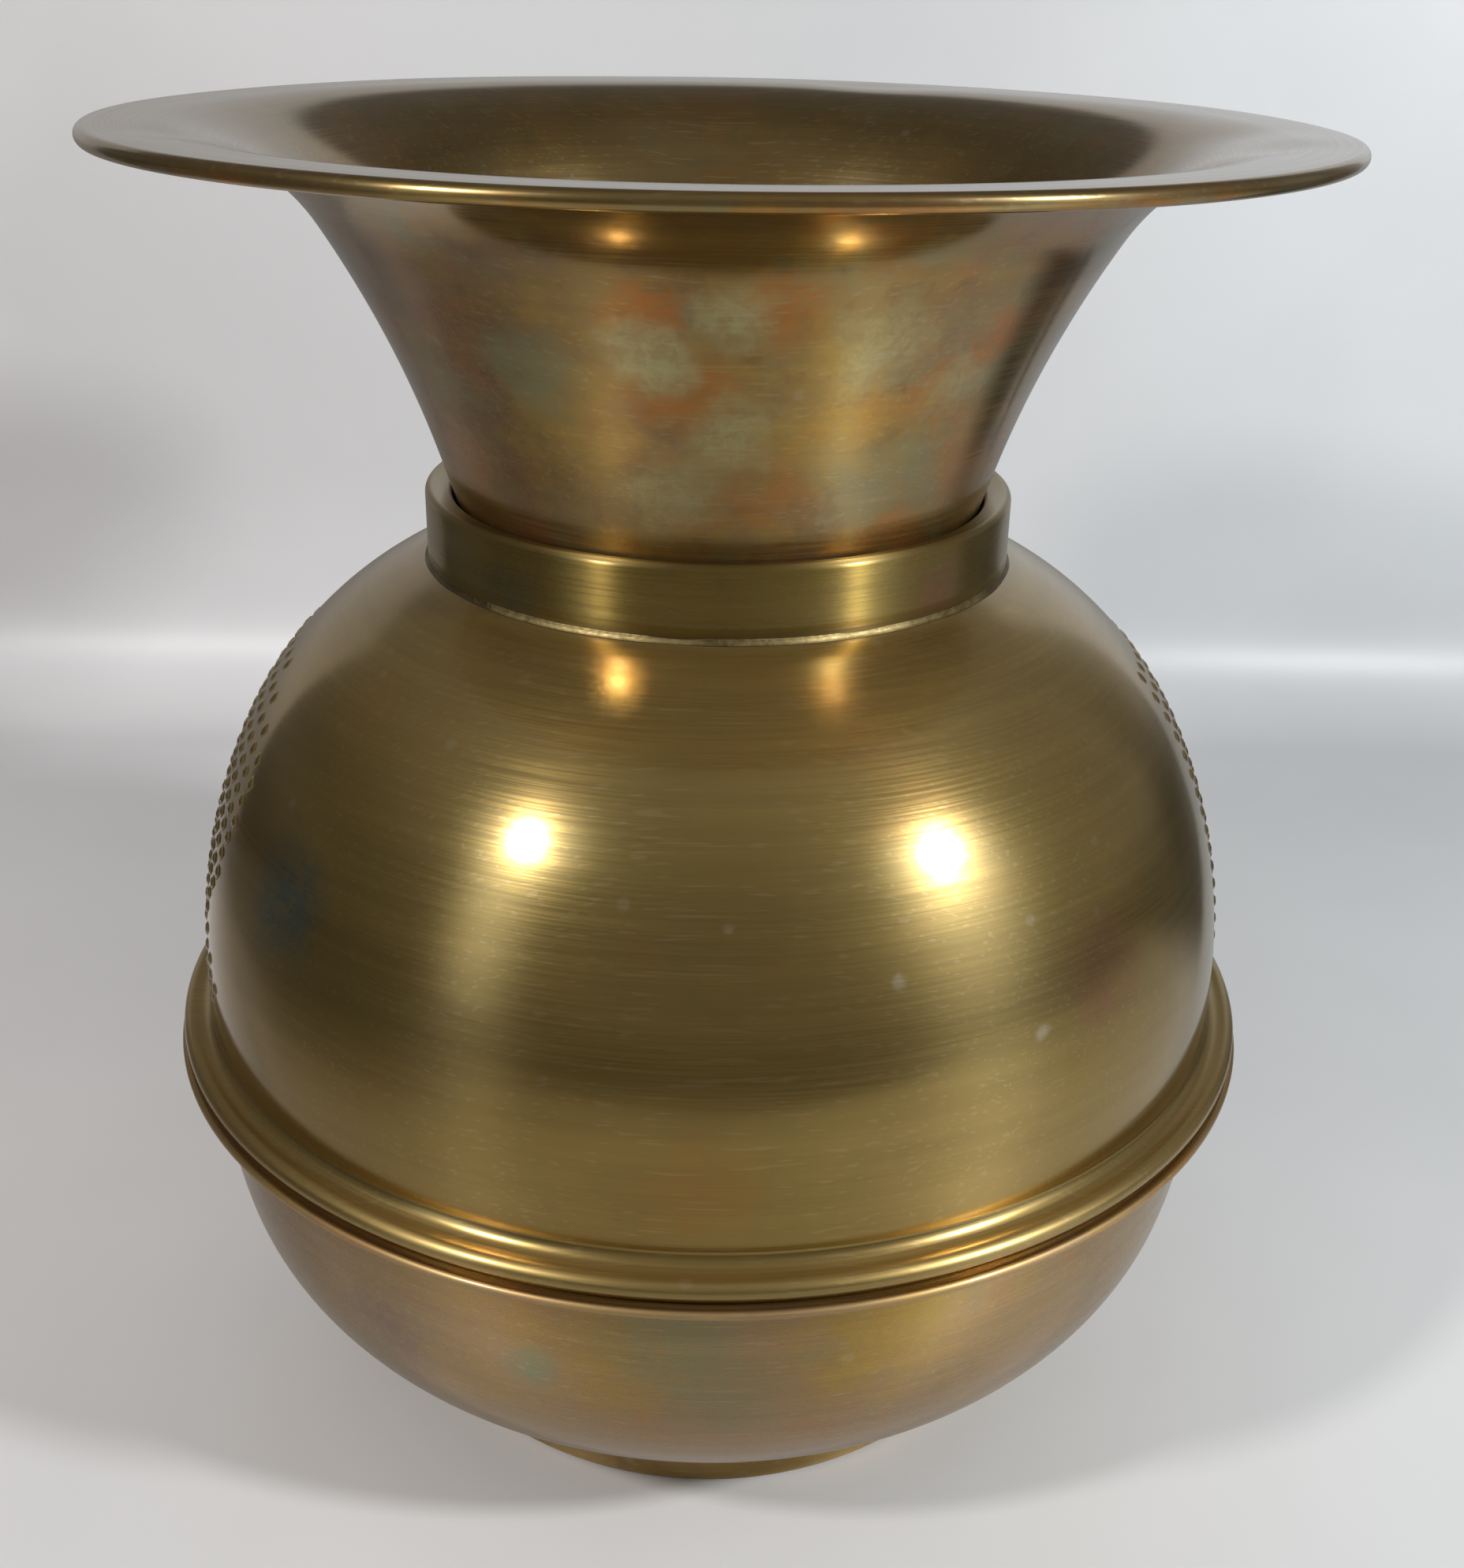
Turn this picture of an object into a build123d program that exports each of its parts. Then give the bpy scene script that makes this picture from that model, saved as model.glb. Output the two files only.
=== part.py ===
"""Brass spittoon: a spun ball on a low foot, with a collar and a lift-out flared mouth.

Lengths are in millimetres and +Z is up.
The origin is the centre of the foot, on the surface that the spittoon stands on.
Every piece is turned about Z, as the real ones are spun on a lathe or rolled into a ring.
"""

import os
from math import acos, cos, degrees, hypot, radians, sin, sqrt

from build123d import *

# Bends with a chord under this are drawn square
smallest_bend = 0.3

# Turns, in degrees
quarter_turn = 90.0
half_turn = 180.0
full_turn = 360.0

# Ball
ball_radius = 107.4
bowl_sheet = 0.9
body_sheet = 0.9
floor_height = 14.4
bowl_corner_radius = 50.0
bowl_corner_turn = 77.4
upper_wall = 9.6
shoulder_radius = 72.0
shoulder_turn = 27.0

# Belt seam: a round bead above, standing on a folded flange below
belt_rise = 5.85
flange_bend = 0.8
flange_reach = 5.1
hem_gap = 0.12
hem_fold = 3.2
belt_foot = 0.6
belt_tuck_radius = 0.5
belt_tuck_turn = 75.0
bead_radius = 2.0
bead_turn = 198.0
crease_radius = 2.0
seam_fillet = 1.5

# Collar and neck
collar_sheet = 0.9
collar_height = 13.65
collar_edge_radius = 1.2
lip_run = 3.0
lip_slope = 15.0
lip_bend = 1.0
collar_sleeve = 8.0
neck_fillet = 2.5
neck_clearance = 0.1
neck_headroom = 1.0
collar_seat_gap = 0.02
collar_bead = 1.0

# Flared mouth
mouth_sheet = 0.8
spigot_radius = 51.8
spigot_length = 20.0
spigot_bend = 8.0
cone_slope = 17.6
cone_run = 8.3
seat_rise = 0.8
seat_gap = 0.3
lower_flare_radius = 193.0
lower_flare_slope = 32.0
upper_flare_radius = 35.4
brim_rise = 1.8
brim_width = 8.8
wire_radius = 0.45
wire_clearance = 0.25
roll_turn = 265.0

# Foot and ballast
foot_radius = 67.2
foot_sheet = 1.0
foot_bend = 1.5
foot_flange = 5.0
foot_seat_gap = 0.02
foot_bead = 1.6
plate_sheet = 0.8
plate_clearance = 0.1
filling_width = 16.2


def run(length):
    """One straight stretch of a section."""
    return ("run", length, 0.0)


def left(radius, turn):
    """One bend to the left, in degrees."""
    return ("bend", radius, turn)


def right(radius, turn):
    """One bend to the right, in degrees."""
    return ("bend", radius, -turn)


def steps(start, heading, moves, offset):
    """Points of each move, on the section itself or on its parallel to the left.

    Each entry holds the first point, a point half way along, and the last point.
    """
    x, z = start
    angle = radians(heading)
    found = []
    for kind, size, turn in moves:
        if kind == "run":
            places = []
            for share in (0, 0.5, 1):
                places.append((x + size * share * cos(angle), z + size * share * sin(angle), angle))
        else:
            side = 1 if turn > 0 else -1
            hub_x = x - side * size * sin(angle)
            hub_z = z + side * size * cos(angle)
            places = []
            for share in (0, 0.5, 1):
                now = angle + radians(turn) * share
                places.append((hub_x + side * size * sin(now), hub_z - side * size * cos(now), now))
        x, z, angle = places[-1]
        found.append([(px - offset * sin(a), pz + offset * cos(a)) for px, pz, a in places])
    return found


def reach(heading, moves):
    """How far the moves go, outwards and upwards."""
    return steps((0, 0), heading, moves, 0)[-1][-1]


def section_edges(moves, found):
    """One line or arc for each move. A bend too small to see is drawn square."""
    edges = []
    for (kind, _, _), (first, middle, last) in zip(moves, found):
        if kind == "run" or hypot(last[0] - first[0], last[1] - first[1]) < smallest_bend:
            edges.append(Line((first[0], 0, first[1]), (last[0], 0, last[1])))
        else:
            edges.append(ThreePointArc(*[(px, 0, pz) for px, pz in (first, middle, last)]))
    return edges


def turned(edges):
    """The solid that a closed section sweeps about Z."""
    return revolve(make_face(Wire(edges)), Axis.Z, full_turn)


def spun_sheet(start, heading, moves, sheet):
    """A sheet spun to the given section, with its thickness to the left of it."""
    near = steps(start, heading, moves, 0)
    far = steps(start, heading, moves, sheet)
    ends = []
    for a, b in ((near[0][0], far[0][0]), (near[-1][-1], far[-1][-1])):
        if max(a[0], b[0]) > 0 or a[0] == b[0]:
            ends.append(Line((a[0], 0, a[1]), (b[0], 0, b[1])))
    return turned(section_edges(moves, near) + section_edges(moves, far) + ends)


# Lower bowl: the section runs along its underside, from the middle of the floor to the hem
bowl_side_turn = quarter_turn - bowl_corner_turn
corner_hub_radius = (ball_radius - bowl_corner_radius) * cos(radians(bowl_side_turn))
corner_hub_height = floor_height + bowl_corner_radius
bowl_moves = [
    run(corner_hub_radius),
    left(bowl_corner_radius, bowl_corner_turn),
    left(ball_radius, bowl_side_turn),
    run(belt_rise),
    right(flange_bend, quarter_turn),
    run(flange_reach),
    right(hem_gap / 2, half_turn),
    run(hem_fold),
]
seam_height = floor_height + reach(0, bowl_moves[:5])[1] + bowl_sheet
flange_radius = reach(0, bowl_moves[:6])[0]


def bowl_underside(radius):
    """Height of the bowl's underside at a radius inside its rounded corner."""
    across = max(radius - corner_hub_radius, 0)
    return corner_hub_height - sqrt(bowl_corner_radius**2 - across**2)


# Upper body: the section runs along its outside, from the foot of the bead to the top of the neck
lip_moves = [
    left(collar_edge_radius, quarter_turn + lip_slope),
    run(lip_run),
    left(lip_bend, quarter_turn - lip_slope),
]
seat_moves = [right(spigot_bend, cone_slope), run(seat_rise)]
seat_radius = spigot_radius + reach(quarter_turn, seat_moves)[0]
collar_hole_radius = seat_radius + seat_gap
neck_radius = collar_hole_radius + collar_sheet + neck_clearance + body_sheet
collar_radius = collar_hole_radius - reach(quarter_turn, lip_moves)[0]

belt_moves = [
    run(belt_foot),
    right(belt_tuck_radius, belt_tuck_turn),
    left(bead_radius, bead_turn),
    right(crease_radius, bead_turn - belt_tuck_turn),
]
belt_start_radius = ball_radius - reach(quarter_turn, belt_moves)[0]
upper_hub_height = seam_height + reach(quarter_turn, belt_moves)[1] + upper_wall
shoulder_hub_radius = (ball_radius - shoulder_radius) * cos(radians(shoulder_turn))
shoulder_drop = (ball_radius - shoulder_radius) * sin(radians(shoulder_turn))
shoulder_hub_height = upper_hub_height + shoulder_drop
neck_reach = neck_radius + neck_fillet - shoulder_hub_radius
neck_turn = degrees(acos(neck_reach / (shoulder_radius + neck_fillet)))


def shoulder_top(radius):
    """Height of the shoulder's outside at a radius."""
    return shoulder_hub_height + sqrt(shoulder_radius**2 - (radius - shoulder_hub_radius) ** 2)


collar_base = shoulder_top(collar_radius - collar_sheet) + collar_seat_gap
collar_top = collar_base + collar_height
body_moves = belt_moves + [
    run(upper_wall),
    left(ball_radius, shoulder_turn),
    left(shoulder_radius, neck_turn - shoulder_turn),
    right(neck_fillet, neck_turn),
]
neck_start = seam_height + reach(quarter_turn, body_moves)[1]
lip_rise = reach(quarter_turn, lip_moves[:2])[1]
lip_underside = collar_top - collar_edge_radius + lip_rise - collar_sheet
neck_length = lip_underside - neck_headroom - neck_start

# Neck collar: up the outer wall, over the dished lip and down the sleeve inside the neck
collar_moves = [run(collar_height - collar_edge_radius)] + lip_moves + [run(collar_sleeve)]
lip_edge_height = collar_base + reach(quarter_turn, collar_moves[:3])[1]

# Flared mouth: up the outside of the spigot, along the underside of the flare and round the wire
mouth_moves = [
    run(spigot_length),
    right(spigot_bend, cone_slope),
    run(cone_run),
    right(lower_flare_radius, lower_flare_slope - cone_slope),
    right(upper_flare_radius, quarter_turn - brim_rise - lower_flare_slope),
    run(brim_width),
]
wire_space = wire_radius + wire_clearance
roll_radius = wire_space + mouth_sheet
spigot_foot = lip_edge_height - reach(quarter_turn, [run(spigot_length)] + seat_moves)[1]
brim_end_radius = spigot_radius + reach(quarter_turn, mouth_moves)[0]
brim_end_height = spigot_foot + reach(quarter_turn, mouth_moves)[1]
wire_centre_radius = brim_end_radius + wire_space * sin(radians(brim_rise))
wire_centre_height = brim_end_height - wire_space * cos(radians(brim_rise))


def flared_mouth():
    """The spun funnel: spigot, cone, trumpet flare, brim and the rim rolled over its wire."""
    moves = mouth_moves + [right(wire_space, roll_turn)]
    return spun_sheet((spigot_radius, spigot_foot), quarter_turn, moves, mouth_sheet)


def rim_wire():
    """The wire inside the rolled rim."""
    return Pos(0, 0, wire_centre_height) * Torus(wire_centre_radius, wire_radius)


def neck_collar():
    """The collar: outer wall on the shoulder, dished lip, and a sleeve inside the neck."""
    return spun_sheet((collar_radius, collar_base), quarter_turn, collar_moves, collar_sheet)


def bead_section(wall_radius, tip_height, reach_out, shell_height):
    """A bead of solder beside a wall, drawn on into the shell that it lies on."""
    tip = (wall_radius, 0, tip_height)
    rim = (wall_radius + reach_out, 0, shell_height)
    sunk = (wall_radius, 0, 2 * shell_height - tip_height)
    return make_face(Wire([Line(tip, rim), Line(rim, sunk), Line(sunk, tip)]))


def disc_section(radius, height, disc_radius):
    """The round section of a shell's arc, to cut from what lies against it."""
    return Plane.XZ * Pos(radius, height) * Circle(disc_radius)


def collar_solder():
    """The bead at the foot of the collar, on the shoulder."""
    edge_height = shoulder_top(collar_radius + collar_bead)
    bead = bead_section(collar_radius, collar_base + collar_bead, collar_bead, edge_height)
    shoulder = disc_section(shoulder_hub_radius, shoulder_hub_height, shoulder_radius)
    return revolve(bead - shoulder, Axis.Z, full_turn)


def upper_body():
    """The top of the ball, from the belt bead up to the neck inside the collar."""
    moves = body_moves + [run(neck_length)]
    return spun_sheet((belt_start_radius, seam_height), quarter_turn, moves, body_sheet)


def lower_bowl():
    """The bottom of the ball, with its flat floor and the folded flange of the belt."""
    return spun_sheet((0, floor_height), 0, bowl_moves, bowl_sheet)


def seam_solder():
    """The solder inside the belt, between the edge of the bead and the flange."""
    edge = belt_start_radius - body_sheet
    corner = (edge, 0, seam_height)
    high = (edge, 0, seam_height + belt_foot)
    low = (edge - seam_fillet, 0, seam_height)
    return turned([Line(corner, high), Line(high, low), Line(low, corner)])


foot_inner_radius = foot_radius - foot_sheet
foot_top = bowl_underside(foot_inner_radius) - foot_seat_gap


def foot_ring():
    """The band that the spittoon stands on, with a flange turned in at the bottom."""
    start = (foot_radius - foot_bend - foot_flange, 0)
    moves = [run(foot_flange), left(foot_bend, quarter_turn), run(foot_top - foot_bend)]
    return spun_sheet(start, 0, moves, foot_sheet)


def bowl_section():
    """Half the section of the bowl's outside, below the middle of its rounded corner."""
    width = corner_hub_radius + bowl_corner_radius
    middle = floor_height + bowl_corner_radius / 2
    block = Plane.XZ * Pos(width / 2, middle) * Rectangle(width, bowl_corner_radius)
    corner = Plane.XZ * Pos(corner_hub_radius + bowl_corner_radius / 2, middle)
    corner = corner * Rectangle(bowl_corner_radius, bowl_corner_radius)
    return block - (corner - disc_section(corner_hub_radius, corner_hub_height, bowl_corner_radius))


def foot_solder():
    """The bead at the top of the foot, under the bowl."""
    edge_height = bowl_underside(foot_radius + foot_bead)
    bead = bead_section(foot_radius, foot_top - foot_bead, foot_bead, edge_height)
    return revolve(bead - bowl_section(), Axis.Z, full_turn)


def base_plate():
    """The disc that closes the foot, lying on its flange."""
    radius = foot_inner_radius - (foot_bend - foot_sheet) - plate_clearance
    disc = Cylinder(radius, plate_sheet, align=(Align.CENTER, Align.CENTER, Align.MIN))
    return Pos(0, 0, foot_sheet) * disc


plate_top = foot_sheet + plate_sheet
weight_radius = foot_inner_radius - filling_width


def base_weight():
    """The iron disc between the plate and the floor of the bowl."""
    height = floor_height - plate_top
    disc = Cylinder(weight_radius, height, align=(Align.CENTER, Align.CENTER, Align.MIN))
    return Pos(0, 0, plate_top) * disc


def base_filling():
    """The pitch round the weight, up to the underside of the bowl."""
    height = foot_top - plate_top
    middle = Pos(foot_inner_radius - filling_width / 2, plate_top + height / 2)
    section = Plane.XZ * middle * Rectangle(filling_width, height)
    return revolve(section - bowl_section(), Axis.Z, full_turn)


PIECES = [
    flared_mouth,
    rim_wire,
    neck_collar,
    collar_solder,
    upper_body,
    lower_bowl,
    seam_solder,
    foot_ring,
    foot_solder,
    base_weight,
    base_filling,
    base_plate,
]

os.makedirs("parts", exist_ok=True)
for piece in PIECES:
    export_step(piece(), f"parts/{piece.__name__}.step")

rim_radius = wire_centre_radius + roll_radius
overall_height = wire_centre_height + roll_radius
print("rim radius", round(rim_radius, 2), "height", round(overall_height, 2))
print("collar", round(collar_radius, 2), "from", round(collar_base, 2), "to", round(collar_top, 2))
print("collar hole", round(collar_hole_radius, 2), "spigot foot", round(spigot_foot, 2))
print("seam", round(seam_height, 2), "flange", round(flange_radius, 2), "bead", round(belt_start_radius, 2))
print("neck", round(neck_radius, 2), "length", round(neck_length, 2), "foot top", round(foot_top, 2))
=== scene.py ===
# %% [markdown]
# # A brass spittoon, from its CAD frame to a finished picture
#
# The spittoon is spun from thin brass sheet: a ball in two halves, a foot, a collar and a wide mouth
# that lifts out. The CAD model already holds every piece at its real size. This lesson loads it as a
# fixed frame, turns finer copies of the spun pieces, and gives each one aged brass.

# %% Load the frame
from math import acos, cos, degrees, exp, hypot, pi, radians, sin

import bmesh
import bpy
from mathutils import Matrix, Vector


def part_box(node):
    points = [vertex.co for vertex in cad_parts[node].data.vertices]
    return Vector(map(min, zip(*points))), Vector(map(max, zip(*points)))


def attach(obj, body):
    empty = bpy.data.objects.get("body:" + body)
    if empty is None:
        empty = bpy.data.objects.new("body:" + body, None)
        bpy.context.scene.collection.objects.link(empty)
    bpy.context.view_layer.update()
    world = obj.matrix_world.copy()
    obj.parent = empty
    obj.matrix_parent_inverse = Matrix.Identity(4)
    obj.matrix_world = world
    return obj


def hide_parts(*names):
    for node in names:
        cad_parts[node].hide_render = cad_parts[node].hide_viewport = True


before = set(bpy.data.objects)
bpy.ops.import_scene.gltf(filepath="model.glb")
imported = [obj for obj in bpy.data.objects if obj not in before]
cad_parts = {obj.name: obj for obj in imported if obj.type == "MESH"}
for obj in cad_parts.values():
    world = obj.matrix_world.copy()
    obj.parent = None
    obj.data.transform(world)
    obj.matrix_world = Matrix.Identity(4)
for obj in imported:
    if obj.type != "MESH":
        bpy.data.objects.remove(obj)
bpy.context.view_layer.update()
MM = 0.001
print("CAD nodes:", sorted(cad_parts))

# %% [markdown]
# ## The camera
#
# The camera stands 361 mm in front of the axis and 294 mm above the table, and looks down at 24.4
# degrees. The photograph is taller than it is wide, so the sensor is fitted to the height: then the
# view stays right whatever the picture's width.

# %% The camera
CAMERA_BACK = 0.36085
CAMERA_UP = 0.29415
PITCH, YAW, ROLL = 0.4253, -0.0107, 0.0201
FOCAL_PIXELS, PHOTO_HEIGHT = 2345.44, 1988
SENSOR = 36.0

camera_data = bpy.data.cameras.new("camera")
camera_data.sensor_fit = "VERTICAL"
camera_data.sensor_height = SENSOR
camera_data.lens = FOCAL_PIXELS / PHOTO_HEIGHT * SENSOR
camera_data.clip_start = 0.01
camera = bpy.data.objects.new("camera", camera_data)
bpy.context.scene.collection.objects.link(camera)
ahead = Vector((-sin(YAW) * cos(PITCH), cos(YAW) * cos(PITCH), -sin(PITCH)))
across = Vector((cos(YAW), sin(YAW), 0))
above = across.cross(ahead)
side = across * cos(ROLL) + above * sin(ROLL)
top = above * cos(ROLL) - across * sin(ROLL)
turn = Matrix((side, top, -ahead)).transposed().to_4x4()
camera.matrix_world = Matrix.Translation((0, -CAMERA_BACK, CAMERA_UP)) @ turn
bpy.context.scene.camera = camera
print("lens", round(camera_data.lens, 2), "mm")

# %% [markdown]
# ## Walking along a section
#
# A spinner works to a template: straight runs joined by smooth bends. Each piece here is a list of
# such moves, in millimetres, the same ones that the CAD model is drawn with. `walk` follows them and
# leaves a point every few millimetres, closer together in tight bends. `sheet_loop` then walks along
# one face of the sheet and back along the other, so that every spun piece has its real thickness.

# %% Moves along a section
RUN_STEP, BEND_STEP, BEND_DEGREES = 3, 1.6, 9
SAME_PLACE = 0.01


def run(length):
    return (length, 0.0)


def bend(radius, turn_degrees):
    """A bend to the left when the turn is positive, and to the right when it is negative."""
    return (radius, turn_degrees)


def walk(start, heading, moves, offset=0.0):
    """Points (radius, height, heading) along the moves, or along their parallel to the left."""
    r, z = start
    angle = radians(heading)
    points = []
    for size, turned in moves:
        if turned:
            hand = 1 if turned > 0 else -1
            hub = (r - hand * size * sin(angle), z + hand * size * cos(angle))
            arc = abs(radians(turned)) * max(size, size - hand * offset)
            count = max(2, int(max(abs(turned) / BEND_DEGREES, arc / BEND_STEP)))
            for i in range(count + 1):
                now = angle + radians(turned) * i / count
                points.append((hub[0] + hand * size * sin(now), hub[1] - hand * size * cos(now), now))
        else:
            count = max(1, int(size / RUN_STEP))
            for i in range(count + 1):
                gone = size * i / count
                points.append((r + gone * cos(angle), z + gone * sin(angle), angle))
        r, z, angle = points[-1]
    return [(pr - offset * sin(a), pz + offset * cos(a), a) for pr, pz, a in points]


def reach(heading, moves):
    """How far the moves go, outwards and upwards."""
    r, z, _ = walk((0, 0), heading, moves)[-1]
    return r, z


def sheet_loop(start, heading, moves, sheet):
    """The closed section of a sheet: near face, then far face back again.

    Each point also says which face it is on: 0 for the near one and 1 for the far one.
    """
    near = [(r, z, 0) for r, z, _ in walk(start, heading, moves)]
    far = [(r, z, 1) for r, z, _ in walk(start, heading, moves, sheet)]
    loop = near + far[::-1]
    following = loop[1:] + loop[:1]
    return [p for p, q in zip(loop, following) if hypot(p[0] - q[0], p[1] - q[1]) > SAME_PLACE]


print("a quarter bend of 10 mm reaches", [round(v, 2) for v in reach(0, [bend(10, 90)])])

# %% [markdown]
# ## Turning a section into a mesh
#
# Blender's Screw modifier could turn the section, but making the rings directly lets each point carry
# two more facts: how rubbed it is, and a small push that makes hand-worked metal a little uneven. The
# rubbed value is stored on the mesh as `wear_and_sheen`, from -1 in a crevice to +1 on an edge that
# hands and polishing cloths touch, and the materials read it. On the ball's bead and at the foot of
# the mouth's cone the same value also carries a painted soft sheen.

# %% A lathe in mesh code
TURNS, SMALL_TURNS = 320, 240
ON_AXIS = 0.01


def lathe(name, loop, wear_and_sheen=lambda r, z, face: 0.0, push=None, turns=TURNS, extra=()):
    """A closed section in millimetres, turned about Z.

    `push` moves a point outwards and upwards. `extra` holds patches to add to the same mesh.
    """
    verts, values = [], []
    for i in range(turns):
        angle = 2 * pi * i / turns
        for r, z, face in loop:
            dr, dz = push(r, z, degrees(angle)) if push and r > ON_AXIS else (0.0, 0.0)
            verts.append(((r + dr) * sin(angle) * MM, -(r + dr) * cos(angle) * MM, (z + dz) * MM))
            values.append(wear_and_sheen(r, z, face))
    n = len(loop)
    off_axis = [r > ON_AXIS for r, _, _ in loop]
    faces = []
    for i in range(turns):
        j = (i + 1) % turns
        for k in range(n):
            m = (k + 1) % n
            if off_axis[k] and off_axis[m]:
                faces.append((i * n + k, j * n + k, j * n + m, i * n + m))
            elif off_axis[k]:
                faces.append((i * n + k, j * n + k, m))
            elif off_axis[m]:
                faces.append((k, j * n + m, i * n + m))
    for points, patch, worn in extra:
        faces += [tuple(corner + len(verts) for corner in face) for face in patch]
        verts += [(x * MM, y * MM, z * MM) for x, y, z in points]
        values += worn
    mesh = bpy.data.meshes.new(name)
    mesh.from_pydata(verts, [], faces)
    mesh.attributes.new("wear_and_sheen", "FLOAT", "POINT").data.foreach_set("value", values)
    return finish_piece(name, mesh)


def finish_piece(name, mesh):
    """Drops unused points, turns every face outwards, and shades the mesh smoothly."""
    work = bmesh.new()
    work.from_mesh(mesh)
    loose = [v for v in work.verts if not v.link_faces]
    bmesh.ops.delete(work, geom=loose, context="VERTS")
    bmesh.ops.recalc_face_normals(work, faces=work.faces)
    work.to_mesh(mesh)
    work.free()
    mesh.shade_smooth()
    piece = bpy.data.objects.new(name, mesh)
    bpy.context.scene.collection.objects.link(piece)
    print(name, len(mesh.vertices), "points")
    return piece


def near(value, centre, width):
    """A soft bump of height 1 round a value."""
    return exp(-(((value - centre) / width) ** 2))


print("a full turn has", TURNS, "steps")

# %% [markdown]
# ## Raised ornament for the back
#
# The far side of the ball carries raised work, and its ends show at both edges of the picture as
# small dark-edged bumps. It is made here as small plain lozenges in rows, as if pressed out from
# behind. Each lozenge is a patch that follows the ball's curve. Its rim dips just under the surface
# and is marked as a crevice, which keeps the dirt. The patches become part of the ball's own mesh,
# because they are the same sheet.

# %% A place on the ball's outside
BALL, SHOULDER = 107.4, 72.0  # the radii of its two arcs
EQUATOR = 100.44
SHOULDER_START = 27.0  # degrees above the equator
shoulder_hub = (BALL - SHOULDER) * cos(radians(SHOULDER_START))
shoulder_drop = (BALL - SHOULDER) * sin(radians(SHOULDER_START))


def ball_place(height):
    """Radius of the ball's outside at a height, and how far its normal points up, in degrees."""
    lift = height - EQUATOR
    if lift <= 0:
        return BALL, 0.0
    if lift < BALL * sin(radians(SHOULDER_START)):
        return (BALL**2 - lift**2) ** 0.5, 90 - degrees(acos(lift / BALL))
    lift -= shoulder_drop
    return shoulder_hub + (SHOULDER**2 - lift**2) ** 0.5, 90 - degrees(acos(lift / SHOULDER))


print("ball at 150 mm:", [round(v, 1) for v in ball_place(150)])

# %% Rows of lozenges
TOP_ROW, ROW_STEP, GAP = 163.0, 4.0, 6.2
HALF_HEIGHT, HALF_WIDTH, RAISED, SUNK = 1.8, 2.1, 0.5, 0.1
# how far round each side the rows begin, in degrees from the front, on the left from the top row down
RIGHT_END = 79
LEFT_ENDS = [79, 74, 70, 67, 66, 67, 67, 68, 69, 69, 71, 73, 74, 73, 70, 67, 69]
STEPS = 4


def lozenge(height, angle):
    """Points, faces and wear of one raised mark that follows the ball, in millimetres."""
    points, worn = [], []
    for i in range(STEPS + 1):
        for k in range(STEPS + 1):
            u, v = 2 * i / STEPS - 1, 2 * k / STEPS - 1
            # the square patch is turned a quarter, so that the mark stands on its point
            across_mark, up_mark = (u + v) / 2, (v - u) / 2
            z = height + up_mark * HALF_HEIGHT
            radius, tilt = ball_place(z)
            from_middle = max(abs(u), abs(v))
            swell = (1 - from_middle**2.2) * RAISED - SUNK
            r = radius + swell * cos(radians(tilt))
            z += swell * sin(radians(tilt))
            at = radians(angle) + across_mark * HALF_WIDTH / radius
            points.append((r * sin(at), -r * cos(at), z))
            worn.append(0.3 - 1.2 * from_middle**2)
    width = STEPS + 1
    faces = [
        (i * width + k, i * width + k + 1, (i + 1) * width + k + 1, (i + 1) * width + k)
        for i in range(STEPS)
        for k in range(STEPS)
    ]
    return points, faces, worn


marks_made = []
for row, left_end in enumerate(LEFT_ENDS):
    height = TOP_ROW - row * ROW_STEP
    span = 360 - left_end - RIGHT_END
    count = int(radians(span) * ball_place(height)[0] / GAP)
    for i in range(count + 1):
        marks_made.append(lozenge(height, RIGHT_END + span * i / count))
print(len(marks_made), "marks on the back")

# %% [markdown]
# ## The ball
#
# The ball is two spun bowls. The upper one ends in a round bead that was rolled over and tucked
# under, and it stands on the lower one's flange, whose edge is folded back. The fold is the thin
# pale lip under the bead. Both edges are what people touch, so they are rubbed bright, and a painted
# soft highlight carries the bead's brightness up over the crease. The groove between them keeps its
# dirt. Round the collar the shoulder is left duller and darker.

# %% The upper body
SEAM = 84.47
NECK_RADIUS, NECK_BEND = 54.62, 2.5
BALL_SHEET = 0.9
belt_moves = [run(0.6), bend(0.5, -75), bend(2.0, 181.7), bend(2.8, -106.7)]
belt_start = BALL - reach(90, belt_moves)[0]
neck_turn = degrees(acos((NECK_RADIUS + NECK_BEND - shoulder_hub) / (SHOULDER + NECK_BEND)))
body_moves = belt_moves + [
    run(8.36),
    bend(BALL, SHOULDER_START),
    bend(SHOULDER, neck_turn - SHOULDER_START),
    bend(NECK_BEND, -neck_turn),
    run(8.34),
]


def body_wear_and_sheen(r, z, face):
    """Bright on the bead's crest, with a painted soft highlight over the crease above, and dull in the
    gap under it, inside, and under the collar.
    """
    if face or r < 55:
        return -1.0
    # painted highlight: the crest's paleness is spread over the crease and up the wall above the bead
    crest_and_sheen = 0.95 * near(r, 111.0, 3.6) * near(z, 88.6, 3.4)
    gap_line = 0.2 * near(z, 84.9, 0.5) + 0.4 * near(z, 184.0, 0.9) * near(r, 59, 1.6)
    film = 0.45 * near(z, 176, 16)
    return crest_and_sheen - gap_line - film


def body_push(r, z, angle):
    """The ball is a little out of true, as a spun and soldered bowl is."""
    wave = 0.12 * sin(radians(2 * angle + 40)) + 0.05 * sin(radians(5 * angle + 2 * z))
    return (wave * near(z, 128, 38), 0.0)


body_loop = sheet_loop((belt_start, SEAM), 90, body_moves, BALL_SHEET)
upper = lathe("ball_top", body_loop, body_wear_and_sheen, body_push, extra=marks_made)

# %% The lower bowl
BOWL_BOTTOM = 14.4
bowl_moves = [
    run(56.02),
    bend(50, 77.4),
    bend(BALL, 12.6),
    run(5.85),
    bend(0.8, -90),
    run(5.1),
    bend(0.06, -180),
    run(3.2),
]


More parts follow.
